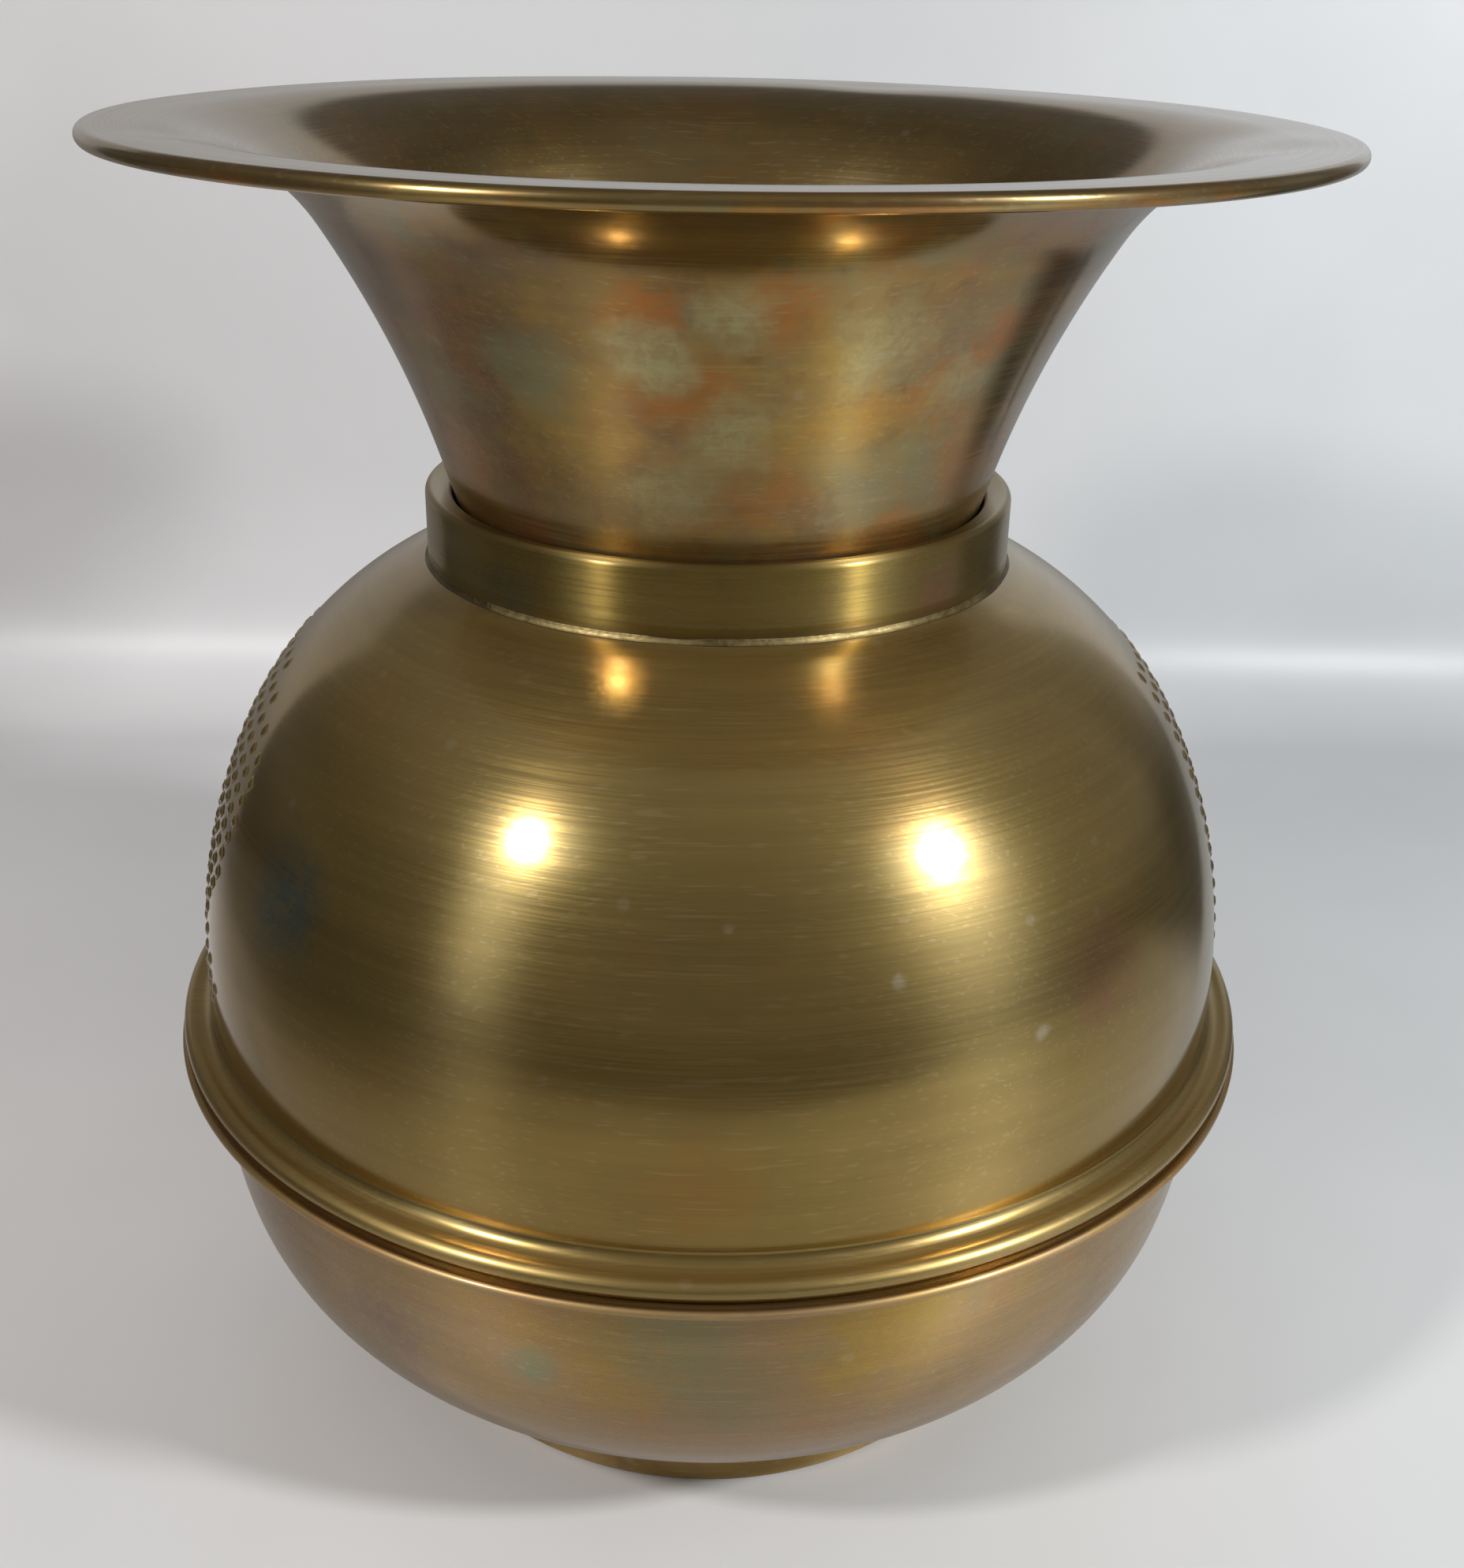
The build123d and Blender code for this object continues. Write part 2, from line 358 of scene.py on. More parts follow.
def bowl_wear(r, z, face):
    """Bright on the lip's edge, and dull inside, in the corners and in the foot."""
    if face and r < 109:
        return -1.0
    lip = near(r, 114.2, 0.8) * near(z, 83.5, 1.4)
    corners = near(z, 81.8, 0.8) * near(r, 108.5, 1.6) + near(z, 15.9, 0.7) * near(r, 67.5, 1.8)
    return lip - 0.5 * corners - 0.6 * (z < 15.2 and r < 60)


bowl_loop = sheet_loop((0, BOWL_BOTTOM), 0, bowl_moves, BALL_SHEET)
lower = lathe("ball_bottom", bowl_loop, bowl_wear)

# %% [markdown]
# ## The collar, the mouth and the foot
#
# The collar is a ring bent like an upside-down U. Its top dips inwards, so it catches the light as a
# thin bright line round the mouth. The mouth is one spinning: a straight spigot inside the collar, a
# cone, and a trumpet curve that lies over into a nearly flat brim. The brim's edge is rolled under
# over a wire. Years of being lifted by that brim have left soft dents in it.

# %% The collar
COLLAR_RADIUS, COLLAR_SHEET = 57.87, 0.9
COLLAR_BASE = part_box("neck_collar")[0].z / MM
collar_moves = [run(12.45), bend(1.2, 105), run(3.0), bend(1.0, 75), run(8.0)]


def collar_wear(r, z, face):
    if face and z < 194:
        return -0.8
    edge = near(r, 57.4, 0.7) * near(z, 197.3, 0.7) + 0.7 * near(r, 53.2, 0.5) * near(z, 196.3, 0.8)
    return edge - 0.6 * near(z, COLLAR_BASE, 0.8)


collar_loop = sheet_loop((COLLAR_RADIUS, COLLAR_BASE), 90, collar_moves, COLLAR_SHEET)
collar = lathe("collar", collar_loop, collar_wear)

# %% The mouth
SPIGOT_RADIUS, MOUTH_SHEET = 51.8, 0.8
SPIGOT_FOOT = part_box("flared_mouth")[0].z / MM
mouth_moves = [
    run(20.0),
    bend(8.0, -17.6),
    run(8.3),
    bend(193.0, -14.4),
    bend(35.4, -56.2),
    run(8.8),
    bend(0.7, -265),
]
# a dent is an angle round the rim, a distance from the axis, a width and a rise, below 0 for a dip
DENTS = [
    (-65, 100, 8, -0.55),
    (-57, 107, 6, 0.2),
    (71, 100, 8, -0.55),
    (80, 106, 7, 0.2),
    (92, 95, 9, -0.45),
    (160, 104, 9, -0.4),
]


def mouth_push(r, z, angle):
    """Dents in the brim, and the slow wave that thin sheet keeps."""
    lift = 0.0
    for at, distance, width, rise in DENTS:
        along = radians((angle - at + 180) % 360 - 180) * distance
        lift += rise * near(along, 0, width * 1.5) * near(r, distance, width * 0.7)
    flat = near(r, 118, 22)
    wave = 0.15 * sin(radians(2 * angle + 70)) + 0.05 * sin(radians(7 * angle)) - 0.2
    return (-0.06, lift + wave * flat)


def mouth_wear_and_sheen(r, z, face):
    """Bright on the rubbed rim, a painted soft sheen at the cone's foot, and dull on the spigot."""
    if z < SPIGOT_FOOT + 19:
        return -0.9
    # painted sheen: the cone's foot is made paler and rougher to soften the lamps' reflections there
    cone_foot_sheen = 0.65 * (1 - face) * near(z, 202, 18)
    film = 0.35 * (1 - face) * near(r, 88, 14)
    return 0.4 * near(r, 114.0, 1.2) * near(z, 264.0, 1.5) + cone_foot_sheen - film


mouth_loop = sheet_loop((SPIGOT_RADIUS, SPIGOT_FOOT), 90, mouth_moves, MOUTH_SHEET)
mouth = lathe("mouth", mouth_loop, mouth_wear_and_sheen, mouth_push)

# %% The foot
FOOT_INNER, FOOT_OUTER, FOOT_SHEET = 60.7, 67.2, 1.0
FOOT_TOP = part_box("foot_ring")[1].z / MM
foot_moves = [run(5.0), bend(1.5, 90), run(FOOT_TOP - 1.5)]


def foot_wear(r, z, face):
    if face:
        return -0.7
    return 0.8 * near(z, 0.8, 0.9) * near(r, 67, 1.0) - near(z, FOOT_TOP, 0.8)


foot_loop = sheet_loop((FOOT_INNER, 0), 0, foot_moves, FOOT_SHEET)
foot = lathe("foot", foot_loop, foot_wear, turns=SMALL_TURNS)

# %% [markdown]
# ## Solder
#
# The collar and the foot are held by fine beads of solder run into the corner. A bead's face is
# hollow, because molten metal is pulled up both walls, and its edge wanders a little as the iron
# moved.

# %% Solder beads
HOLLOW = 0.35


def bead_loop(wall, tip, rim, shell):
    """A hollow-faced bead between a wall and a shell that falls from `wall` to `rim`."""
    face = []
    for i in range(9):
        t = i / 8
        dip = HOLLOW * t * (1 - t)
        face.append((wall + (rim - wall) * (t - dip), tip + (shell - tip) * (t + dip), 0))
    return face + [(wall - 0.3, shell, 1), (wall - 0.3, tip, 1)]


def wander(r, z, angle):
    """Small waves round the bead: 9 slow ones, and 23 quick ones on top."""
    return (0.06 * sin(radians(9 * angle)) + 0.04 * sin(radians(23 * angle + 50)), 0.0)


collar_corner = bead_loop(COLLAR_RADIUS, COLLAR_BASE + 0.6, 58.5, 183.35)
collar_bead = lathe("collar_bead", collar_corner, push=wander, turns=SMALL_TURNS)
foot_corner = bead_loop(FOOT_OUTER, FOOT_TOP - 1.55, 68.75, 16.0)
foot_bead = lathe("foot_bead", foot_corner, push=wander, turns=SMALL_TURNS)

# %% [markdown]
# ## Building materials from small parts
#
# A material is a tree of nodes. These helpers add a node, set its inputs, and give back a socket, so
# that the recipes below read from left to right like the node editor.

# %% Adding nodes
FLOAT, VECTOR = "NodeSocketFloat", "NodeSocketVector"
NUMBER_RESULTS = ("LENGTH", "DISTANCE", "DOT_PRODUCT")


def add(tree, kind, inputs=None, **settings):
    """Adds a node. An input may be a value or another node's socket."""
    node = tree.nodes.new(kind)
    for name, value in settings.items():
        setattr(node, name, value)
    connect(tree, node, inputs)
    return node


def connect(tree, node, inputs):
    for name, value in (inputs or {}).items():
        if isinstance(value, bpy.types.NodeSocket):
            tree.links.new(value, node.inputs[name])
        else:
            node.inputs[name].default_value = value


def here(tree):
    """The place on the piece, in metres."""
    return add(tree, "ShaderNodeTexCoord").outputs["Object"]


def apart(tree, vector):
    """A vector's three numbers."""
    return add(tree, "ShaderNodeSeparateXYZ", {0: vector}).outputs


def together(tree, x, y, z=0.0):
    return add(tree, "ShaderNodeCombineXYZ", {0: x, 1: y, 2: z}).outputs[0]


def vectors(tree, operation, inputs):
    """Vector maths. A length, a distance and a dot product come back as a number."""
    node = add(tree, "ShaderNodeVectorMath", inputs, operation=operation)
    return node.outputs["Value" if operation in NUMBER_RESULTS else "Vector"]


def maths(tree, operation, first, second=0.0, clamp=False):
    node = add(tree, "ShaderNodeMath", {0: first, 1: second}, operation=operation, use_clamp=clamp)
    return node.outputs[0]


def plus(tree, first, second, clamp=False):
    return maths(tree, "ADD", first, second, clamp)


def minus(tree, first, second):
    return maths(tree, "SUBTRACT", first, second)


def times(tree, first, *others):
    for other in others:
        first = maths(tree, "MULTIPLY", first, other)
    return first


print("vector maths that gives a number:", ", ".join(NUMBER_RESULTS))


# %% Masks and colours
def opaque(colour):
    """A written colour gets its fourth number, and a socket stays as it is."""
    return colour + (1,) if isinstance(colour, tuple) else colour


def blend(tree, factor, first, second, mode="MIX"):
    """Mixes two colours."""
    inputs = {0: factor, 6: opaque(first), 7: opaque(second)}
    return add(tree, "ShaderNodeMix", inputs, data_type="RGBA", blend_type=mode).outputs[2]


def dim(tree, colour, by):
    """Multiplies a colour by a value or by another colour."""
    return blend(tree, 1.0, colour, by, "MULTIPLY")


def soften(tree, value, low, high, start=0.0, end=1.0):
    """Maps low..high to start..end with soft ends."""
    inputs = {"Value": value, "From Min": low, "From Max": high, "To Min": start, "To Max": end}
    return add(tree, "ShaderNodeMapRange", inputs, interpolation_type="SMOOTHSTEP").outputs[0]


def bell(tree, value, centre, width):
    """What `near` is for a mesh: a soft bump of height 1 round a value."""
    off = maths(tree, "DIVIDE", minus(tree, value, centre), width)
    return maths(tree, "EXPONENT", times(tree, off, off, -1.0))


def noise(tree, place, scale, detail, roughness=0.5):
    """A noise node's outputs: a value, and then a colour."""
    inputs = {"Vector": place, "Scale": scale, "Detail": detail, "Roughness": roughness}
    return add(tree, "ShaderNodeTexNoise", inputs).outputs


def grey_ramp(tree, share, stops):
    """A grey read from stops (place, level). The share is 0 at the first one and 1 at the last."""
    node = add(tree, "ShaderNodeValToRGB", {0: share})
    first, last = stops[0][0], stops[-1][0]
    while len(node.color_ramp.elements) < len(stops):
        node.color_ramp.elements.new(0.5)
    for element, (at, level) in zip(node.color_ramp.elements, stops):
        element.position = (at - first) / (last - first)
        element.color = (level, level, level, 1)
    return node.outputs[0]


print("a written colour becomes", opaque((0.3, 0.2, 0.1)))


# %% Empty materials and groups
def empty_material(name):
    material = bpy.data.materials.new(name)
    material.use_nodes = True
    material.node_tree.nodes.clear()
    return material, material.node_tree


def new_group(name, sockets_in, socket_out):
    """A shader node group with named inputs and one value out. Returns it with its end nodes."""
    group = bpy.data.node_groups.new(name, "ShaderNodeTree")
    for label, kind, value in sockets_in:
        socket = group.interface.new_socket(name=label, in_out="INPUT", socket_type=kind)
        socket.default_value = value
    group.interface.new_socket(name=socket_out, in_out="OUTPUT", socket_type=FLOAT)
    return group, group.nodes.new("NodeGroupInput"), group.nodes.new("NodeGroupOutput")


def use(tree, group, inputs=None):
    """Places a group in a tree, and gives back its value."""
    return add(tree, "ShaderNodeGroup", inputs, node_tree=group).outputs[0]


print("helpers ready")

# %% [markdown]
# ## Turned lines
#
# Emery held against turning metal leaves very fine rings. Noise stretched round the axis gives them:
# it changes fast with height and radius, and slowly with the angle. Four coordinates are needed,
# because a flat brim changes only in radius and an upright wall only in height. The direction is
# read from x and y divided by the radius, so there is no seam.

# %% The turned lines group
turned_lines, came, goes = new_group(
    "turned lines", [("Per metre", FLOAT, 2500.0), ("Along", FLOAT, 2.0)], "Lines"
)
x, y, z = apart(turned_lines, here(turned_lines))
level = together(turned_lines, x, y)
way_round = vectors(turned_lines, "NORMALIZE", {0: level})
along = vectors(turned_lines, "SCALE", {0: way_round, "Scale": came.outputs["Along"]})
along = apart(turned_lines, along)
up_lines = times(turned_lines, z, came.outputs["Per metre"])
out_lines = vectors(turned_lines, "LENGTH", {0: level})
out_lines = times(turned_lines, out_lines, came.outputs["Per metre"])
stretched = together(turned_lines, along[0], along[1], up_lines)
inputs = {"Vector": stretched, "W": out_lines, "Scale": 1.0, "Detail": 2.0}
rings = add(turned_lines, "ShaderNodeTexNoise", inputs, noise_dimensions="4D").outputs[0]
turned_lines.links.new(rings, goes.inputs["Lines"])
print("turned lines:", len(turned_lines.nodes), "nodes")

# %% [markdown]
# ## Tarnish clouds
#
# Old brass goes brown where hands have been, grey-green where damp has stood, and orange where the
# zinc has gone. Each is a cloud with soft, torn edges. One group makes such a cloud as a mask, and
# each material asks for its own size, spread and place.

# %% The cloud group
clouds, came, goes = new_group(
    "tarnish clouds",
    [
        ("Per metre", FLOAT, 25.0),
        ("Least", FLOAT, 0.45),
        ("Most", FLOAT, 0.7),
        ("Shift", VECTOR, (0, 0, 0)),
    ],
    "Mask",
)
place = vectors(clouds, "ADD", {0: here(clouds), 1: came.outputs["Shift"]})
torn = vectors(clouds, "SCALE", {0: noise(clouds, place, 160.0, 3.0)["Color"], "Scale": 0.009})
place = vectors(clouds, "ADD", {0: place, 1: torn})
cloud = noise(clouds, place, came.outputs["Per metre"], 5.0, 0.58)[0]
mask = soften(clouds, cloud, came.outputs["Least"], came.outputs["Most"])
clouds.links.new(mask, goes.inputs["Mask"])
print("tarnish clouds:", len(clouds.nodes), "nodes")

# %% [markdown]
# ## A stain in one place
#
# Some stains can be pointed at: a pale cloud in the middle of the mouth, a round spot low on the
# bowl. The distance to a centre gives a round mask. Adding noise to the place before measuring makes
# its edge ragged, and a low raggedness keeps it nearly round.

# %% The stain group
stain, came, goes = new_group(
    "stain", [("Centre", VECTOR, (0, 0, 0)), ("Radius", FLOAT, 0.01), ("Ragged", FLOAT, 1.2)], "Mask"
)
place = here(stain)
torn = noise(stain, place, 95.0, 6.0, 0.66)["Color"]
torn = vectors(stain, "SUBTRACT", {0: torn, 1: (0.5, 0.5, 0.5)})
pull = times(stain, came.outputs["Radius"], came.outputs["Ragged"], 2.0)
torn = vectors(stain, "SCALE", {0: torn, "Scale": pull})
place = vectors(stain, "ADD", {0: place, 1: torn})
away = vectors(stain, "DISTANCE", {0: place, 1: came.outputs["Centre"]})
share = maths(stain, "DIVIDE", away, came.outputs["Radius"])
mottled = soften(stain, noise(stain, place, 420.0, 3.0)[0], 0.35, 0.6, 0.55, 1.0)
mask = times(stain, soften(stain, share, 0.3, 1.4, 1.0, 0.0), mottled)
stain.links.new(mask, goes.inputs["Mask"])
print("stain:", len(stain.nodes), "nodes")

# %% [markdown]
# ## Spots and scratches
#
# Small pale spots are where something splashed. They come from the distance to scattered points, and
# only some of the points are used. Hair-fine scratches cross the turned lines at a slant. They are
# noise that is stretched along a slanted direction and cut off near its top.

# %% The spots group
USED_ABOVE = 0.66
spots, came, goes = new_group("spots", [("Per metre", FLOAT, 70.0), ("Size", FLOAT, 0.05)], "Mask")
inputs = {"Vector": here(spots), "Scale": came.outputs["Per metre"]}
cells = add(spots, "ShaderNodeTexVoronoi", inputs)
edge = times(spots, came.outputs["Size"], 2.2)
spot = soften(spots, cells.outputs["Distance"], came.outputs["Size"], edge, 1.0, 0.0)
chance = add(spots, "ShaderNodeSeparateColor", {0: cells.outputs["Color"]}).outputs[0]
used = maths(spots, "GREATER_THAN", chance, USED_ABOVE)
spots.links.new(times(spots, spot, used), goes.inputs["Mask"])
print("spots:", len(spots.nodes), "nodes")

# %% The scratches group
SLANTS = ((0.9, 0.35, 0.6), (-0.6, 0.5, 2.1))
scratches, came, goes = new_group("scratches", [("Threshold", FLOAT, 0.72)], "Mask")
place = here(scratches)
hairs = []
for slant in SLANTS:
    inputs = {"Vector": place, "Rotation": slant, "Scale": (45, 1500, 1500)}
    combed = add(scratches, "ShaderNodeMapping", inputs).outputs[0]
    hairs.append(noise(scratches, combed, 1.0, 0.0)[0])
threshold = came.outputs["Threshold"]
hair = maths(scratches, "MAXIMUM", hairs[0], hairs[1])
hair = soften(scratches, hair, threshold, plus(scratches, threshold, 0.05))
scratches.links.new(hair, goes.inputs["Mask"])
print("scratches:", len(scratches.nodes), "nodes")

# %% [markdown]
# ## Aged brass
#
# Aged brass reflects far less than a polished sample: about a third of the red light, a fifth of the
# green and a sixteenth of the blue. At a glancing angle it turns pale, as every metal does. The
# recipe lays clouds and stains over that colour, darkens the crevices and brightens the rubbed edges
# with `wear_and_sheen`, which also paints a soft sheen in two places, and puts the turned lines into
# the roughness and a very low bump. It can also paint shade on faces that look up.
#
# The ball is well polished, so its roughness is low, and each fine ring is a little smoother on one
# side than on the other. The rings spread a highlight up and down, across themselves, more than
# sideways. The anisotropic setting does that, with a tangent round the axis and a quarter turn. A
# little of the surface is dull tarnish and not metal, so Metallic stays below 1. A thin coat stands
# for old wax.


# %% Where a stain is
def outside_place(loop, angle, height):
    """The place, in metres, on a turned piece's outer face at an angle from the front and a height."""
    outer = [(r, z) for r, z, face in loop if face == 0]
    for (r1, z1), (r2, z2) in zip(outer, outer[1:]):
        if min(z1, z2) <= height <= max(z1, z2) and z1 != z2:
            r = r1 + (r2 - r1) * (height - z1) / (z2 - z1)
    return (r * sin(radians(angle)) * MM, -r * cos(radians(angle)) * MM, height * MM)


print("front of the ball:", [round(v, 4) for v in outside_place(body_loop, 0, 130)])


# %% The aged brass recipe
SPLASH, HAIR = (0.5, 0.42, 0.26), (0.6, 0.47, 0.24)
GRIME, BRIGHT = (0.15, 0.115, 0.065), (0.58, 0.42, 0.22)
# how much of each colour shows where its mask is full
SPLASH_SHOWS, GRIME_SHOWS, BRIGHT_SHOWS = 0.22, 0.75, 0.15
# what clouds, rubbing and dirt add to the roughness
CLOUD_ROUGH, RUBBED_ROUGH, DIRTY_ROUGH = 0.04, 0.3, 0.22
FINE_LINES, BROAD_LINES = 2600.0, 300.0  # per metre
BUMP_STRENGTH, BUMP_DEPTH = 0.008, 0.0003
MOST_METAL, METAL_LOST = 0.91, 0.45


def tarnish(tree, loop, base, tints, stains, painted_shade_inside):
    """The metal's colour with its clouds and stains, and how much cloud lies there."""
    facing = apart(tree, add(tree, "ShaderNodeTexCoord").outputs["Normal"])[2]
    # painted shade: faces that look up, such as the mouth's inside, are darkened and their tints
    # weakened
    outside = soften(tree, facing, -0.12, 0.2, 1.0, 1.0 - painted_shade_inside)
    shaded = tuple(c * (1 - 0.6 * painted_shade_inside) for c in base)
    colour = blend(tree, outside, shaded, base)
    weaker = [outside] if painted_shade_inside else []
    dull_there = 0.0
    for tint, per_metre, least, most, shift, strength in tints:
        inputs = {"Per metre": per_metre, "Least": least, "Most": most, "Shift": shift}
        amount = times(tree, use(tree, clouds, inputs), strength, *weaker)
        colour = blend(tree, amount, colour, tint)
        dull_there = plus(tree, amount, dull_there)
    for tint, angle, height, radius, ragged, strength in stains:
        centre = outside_place(loop, angle, height)
        inputs = {"Centre": centre, "Radius": radius * MM, "Ragged": ragged}
        amount = times(tree, use(tree, stain, inputs), strength, *weaker)
        colour = blend(tree, amount, colour, tint)
    return colour, dull_there


def aged_brass(
    name, loop, base, tints, stains, smooth, rough, anisotropy, scratched=0.15, painted_shade_inside=0.0
):
    """A brass material. `smooth` and `rough` are the roughness of the two sides of a ring.

    A tint is a colour, clouds per metre, least, most, shift and strength. A stain is a colour, an
    angle from the front, a height and a radius in millimetres, a raggedness and a strength.
    `scratched` is how much the scratches show. `painted_shade_inside` darkens faces that look up with
    painted shade, and weakens their tints and stains.
    """
    material, tree = empty_material(name)
    colour, dull_there = tarnish(tree, loop, base, tints, stains, painted_shade_inside)
    fine = use(tree, turned_lines, {"Per metre": FINE_LINES, "Along": 3.0})
    broad = use(tree, turned_lines, {"Per metre": BROAD_LINES, "Along": 1.2})
    ring_tone = soften(tree, broad, 0.3, 0.7, 0.95, 1.05)
    colour = dim(tree, colour, times(tree, ring_tone, soften(tree, fine, 0.3, 0.7, 0.96, 1.04)))
    colour = blend(tree, times(tree, use(tree, spots), SPLASH_SHOWS), colour, SPLASH)
    hairs = use(tree, scratches)
    colour = blend(tree, times(tree, hairs, scratched), colour, HAIR)
    wear_and_sheen = add(tree, "ShaderNodeAttribute", attribute_name="wear_and_sheen").outputs["Fac"]
    rubbed_and_sheen = soften(tree, wear_and_sheen, 0.1, 1.0)
    dirty = soften(tree, wear_and_sheen, -0.1, -0.9)
    colour = blend(tree, times(tree, dirty, GRIME_SHOWS), colour, GRIME)
    # rubbed edges are paler brass; on the ball's bead and the mouth's cone foot this paleness is a
    # painted sheen
    colour = blend(tree, times(tree, rubbed_and_sheen, BRIGHT_SHOWS), colour, BRIGHT)
    roughness = soften(tree, fine, 0.35, 0.65, smooth, rough)
    roughness = plus(tree, times(tree, dull_there, CLOUD_ROUGH), roughness)
    roughness = plus(tree, roughness, times(tree, rubbed_and_sheen, RUBBED_ROUGH))
    roughness = plus(tree, roughness, times(tree, dirty, DIRTY_ROUGH), clamp=True)
    height = plus(tree, fine, times(tree, broad, 1.2))
    height = minus(tree, height, times(tree, hairs, 5 * scratched))
    inputs = {"Height": height, "Strength": BUMP_STRENGTH, "Distance": BUMP_DEPTH}
    bumped = add(tree, "ShaderNodeBump", inputs)
    tangent = add(tree, "ShaderNodeTangent", direction_type="RADIAL", axis="Z")
    inputs = {
        "Base Color": colour,
        "Metallic": minus(tree, MOST_METAL, times(tree, dirty, METAL_LOST)),
        "Roughness": roughness,
        "Normal": bumped.outputs[0],
        "Anisotropic": anisotropy,
        "Anisotropic Rotation": 0.25,
        "Tangent": tangent.outputs[0],
        "Coat Weight": 0.35,
        "Coat Roughness": 0.12,
    }
    surface = add(tree, "ShaderNodeBsdfPrincipled", inputs)
    add(tree, "ShaderNodeOutputMaterial", {"Surface": surface.outputs[0]})
    print(name, len(tree.nodes), "nodes")
    return material


def dress(piece, material, body, slot, *nodes):
    """Gives a piece its material and the body it rides on, and hides the CAD nodes that it stands for.
    """
    piece.data.materials.clear()
    piece.data.materials.append(material)
    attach(piece, body)
    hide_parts(*nodes)


# %% [markdown]
# ## Dressing the pieces
#
# The mouth has the most tarnish: orange, pale green-grey and violet-brown clouds, mostly outside. The
# ball's top is the cleanest, with one bluish and one reddish stain. The bowl under the belt never
# gets polished, so it is pinkish brown and mottled, with a round grey-green spot.

# %% Tarnish colours
ORANGE = (0.45, 0.175, 0.032)
GOLD = (0.44, 0.27, 0.045)
PALE = (0.43, 0.375, 0.17)
GREY_GREEN = (0.265, 0.25, 0.125)
VIOLET = (0.24, 0.15, 0.10)
BROWN = (0.21, 0.115, 0.042)
OLIVE = (0.25, 0.185, 0.05)
BLUE_GREY = (0.16, 0.175, 0.125)
PINK_BROWN = (0.36, 0.225, 0.125)
RED_BROWN = (0.33, 0.14, 0.075)
print("orange tarnish:", ORANGE)

# %% Brass for the mouth
mouth_brass = aged_brass(
    "mouth_brass",
    mouth_loop,
    (0.32, 0.205, 0.062),
    [
        (ORANGE, 45.0, 0.46, 0.66, (0.3, 0.1, 0.0), 0.7),
        (GREY_GREEN, 60.0, 0.48, 0.66, (1.1, 0.4, 0.2), 0.6),
        (GOLD, 85.0, 0.5, 0.68, (0.6, 1.7, 0.2), 0.45),
        (VIOLET, 40.0, 0.53, 0.7, (2.3, 0.0, 0.7), 0.5),
        (BROWN, 120.0, 0.52, 0.7, (0.2, 3.1, 0.4), 0.5),
    ],
    [
        (BROWN, -39, 234, 14, 0.9, 0.7),
        (PINK_BROWN, -52, 246, 14, 0.9, 0.9),
        (BROWN, -38.5, 217, 13, 1.1, 0.8),
        (GOLD, 17, 227, 13, 1.2, 0.7),
        (GOLD, -24.5, 221, 13, 1.2, 0.7),
        (ORANGE, -9, 242, 6.6, 1.1, 0.95),
        (ORANGE, -4.5, 228, 8.2, 1.2, 0.85),
        (ORANGE, 42, 235.5, 7.4, 1.1, 0.95),
        (ORANGE, 8, 243.5, 7.2, 1.2, 0.8),
        (PALE, 2, 241.5, 6.6, 1.1, 0.9),
        (PALE, -9, 234.5, 7, 1.0, 1.0),
        (PALE, 1.5, 220, 8.8, 1.2, 0.8),
        (GREY_GREEN, -28.5, 231, 9, 1.0, 0.85),
        (PALE, 22, 236, 9.5, 1.2, 0.6),
        (PALE, -8, 209, 8.2, 1.1, 0.8),
        (PALE, 39, 228.5, 7, 1.2, 0.6),
        (GREY_GREEN, 34.5, 211.5, 9, 1.1, 0.75),
    ],
    smooth=0.1,
    rough=0.17,
    anisotropy=0.6,
    painted_shade_inside=0.75,
)

# %% Brass for the ball's top, the collar, the bowl and the foot
body_brass = aged_brass(
    "body_brass",
    body_loop,
    (0.335, 0.222, 0.06),
    [
        (OLIVE, 24.0, 0.42, 0.7, (0.7, 0.2, 0.0), 0.45),
        (ORANGE, 38.0, 0.56, 0.8, (0.0, 1.4, 0.9), 0.25),
        (BROWN, 110.0, 0.56, 0.8, (1.2, 0.8, 0.5), 0.2),
    ],
    [
        (BLUE_GREY, -49.5, 136, 11.5, 0.5, 1.0),
        (RED_BROWN, 42.5, 130, 10, 0.7, 0.6),
        ((0.75, 0.68, 0.48), 18, 138.5, 1.4, 1.4, 0.4),
        ((0.75, 0.62, 0.45), 33, 124, 1.6, 1.6, 0.4),
        ((0.70, 0.60, 0.40), 1.5, 148.5, 1, 1.4, 0.25),
        (ORANGE, -0.5, 103.5, 10.5, 1.2, 0.3),
    ],
    smooth=0.11,
    rough=0.17,
    anisotropy=0.5,
)
collar_brass = aged_brass(
    "collar_brass",
    collar_loop,
    (0.25, 0.168, 0.036),
    [
        (OLIVE, 50.0, 0.42, 0.7, (0.2, 0.5, 0.0), 0.4),
        (BROWN, 140.0, 0.5, 0.75, (0.4, 0.8, 0.1), 0.4),
    ],
    [
        (RED_BROWN, 44, 187.5, 6.8, 0.7, 0.6),
        (BLUE_GREY, -40.5, 186, 7, 0.7, 0.5),
    ],
    smooth=0.26,
    rough=0.3,
    anisotropy=1.0,
    scratched=0.05,
)
